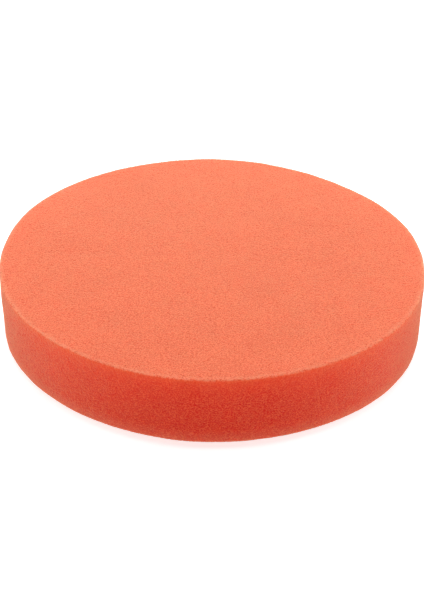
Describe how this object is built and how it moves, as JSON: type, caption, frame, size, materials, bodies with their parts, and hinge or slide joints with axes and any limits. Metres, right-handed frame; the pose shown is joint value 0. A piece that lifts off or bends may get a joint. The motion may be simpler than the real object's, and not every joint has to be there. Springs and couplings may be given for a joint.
{
  "type": "polishing pad",
  "caption": "Flat round foam polishing pad with a straight side and a hook-and-loop backing, for a rotary or orbital polisher.",
  "frame": {"origin": "centre of the hook-and-loop face, in the plane of its loop tips, which is the bottom of the pad as it lies on its backing", "axes": "+Z along the disc's axis, from the loop face out through the foam working face; +X and +Y lie in the loop face and are interchangeable"},
  "size_m": [0.155, 0.155, 0.0274],
  "materials": {
    "foam": "matte open-cell polyurethane foam, coral orange",
    "adhesive": "milky hot-melt film",
    "backing_cloth": "matte knitted ground cloth, off-white",
    "pile": "soft brushed loop pile, off-white"
  },
  "bodies": {
    "root": {"foam_disc": "foam", "adhesive_film": "adhesive", "loop_backing_cloth": "backing_cloth", "loop_pile": "pile"}
  },
  "joints": []
}
